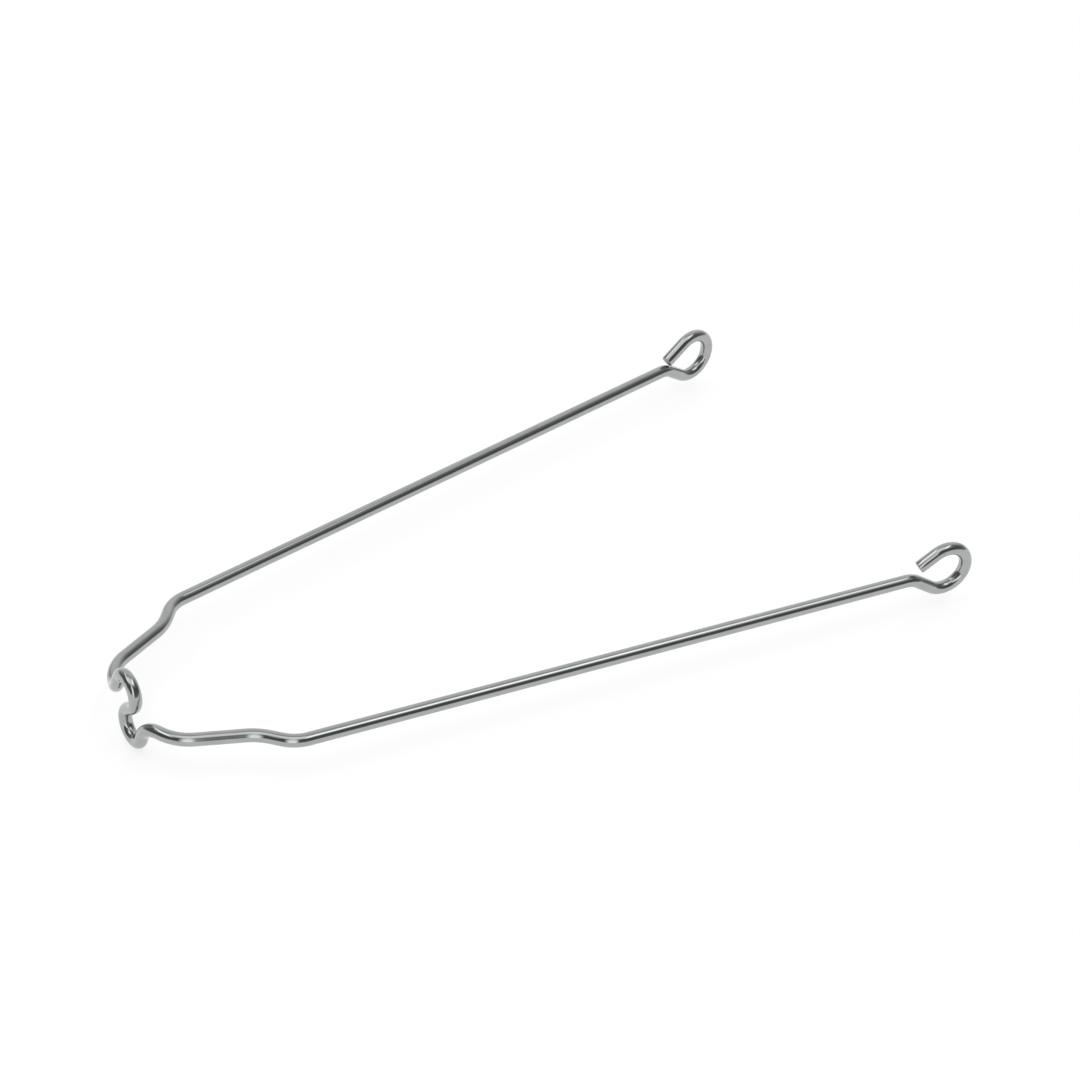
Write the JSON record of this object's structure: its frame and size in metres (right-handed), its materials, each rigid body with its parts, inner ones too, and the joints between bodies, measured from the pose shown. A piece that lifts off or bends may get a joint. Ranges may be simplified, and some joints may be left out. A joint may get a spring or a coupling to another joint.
{
  "type": "wire stay",
  "caption": "V-shaped stay bent from round steel wire, with an S-bend crown, stepped shoulders, long straight arms and an open ring eye at the end of each arm.",
  "frame": {"origin": "middle of the crown's S-bend, where the wire's centreline crosses the plane of the arms", "axes": "+X from the crown to the eyes, +Y to the left arm, +Z square to the plane of the arms, away from the side to which the eyes dip"},
  "size_m": [0.2543, 0.1394, 0.0242],
  "materials": {
    "bright_wire": "bright plated drawn wire, slightly soft reflections"
  },
  "bodies": {
    "crown": {"crown_upper_loop": "bright_wire", "crown_lower_loop": "bright_wire", "left_shoulder": "bright_wire", "right_shoulder": "bright_wire", "left_jog": "bright_wire", "right_jog": "bright_wire"},
    "left_spring_arm": {"left_arm": "bright_wire", "left_eye": "bright_wire"},
    "right_spring_arm": {"right_arm": "bright_wire", "right_eye": "bright_wire"}
  },
  "joints": [
    {"name": "left_arm_spread", "type": "hinge", "parent": "crown", "child": "left_spring_arm", "pos_m": [0.04052, 0.03748, 0], "axis": [0, 0, 1], "range_deg": [-4, 4], "stiffness_Nm_per_rad": 14},
    {"name": "right_arm_spread", "type": "hinge", "parent": "crown", "child": "right_spring_arm", "pos_m": [0.04052, -0.03748, 0], "axis": [0, 0, -1], "range_deg": [-4, 4], "stiffness_Nm_per_rad": 14}
  ]
}
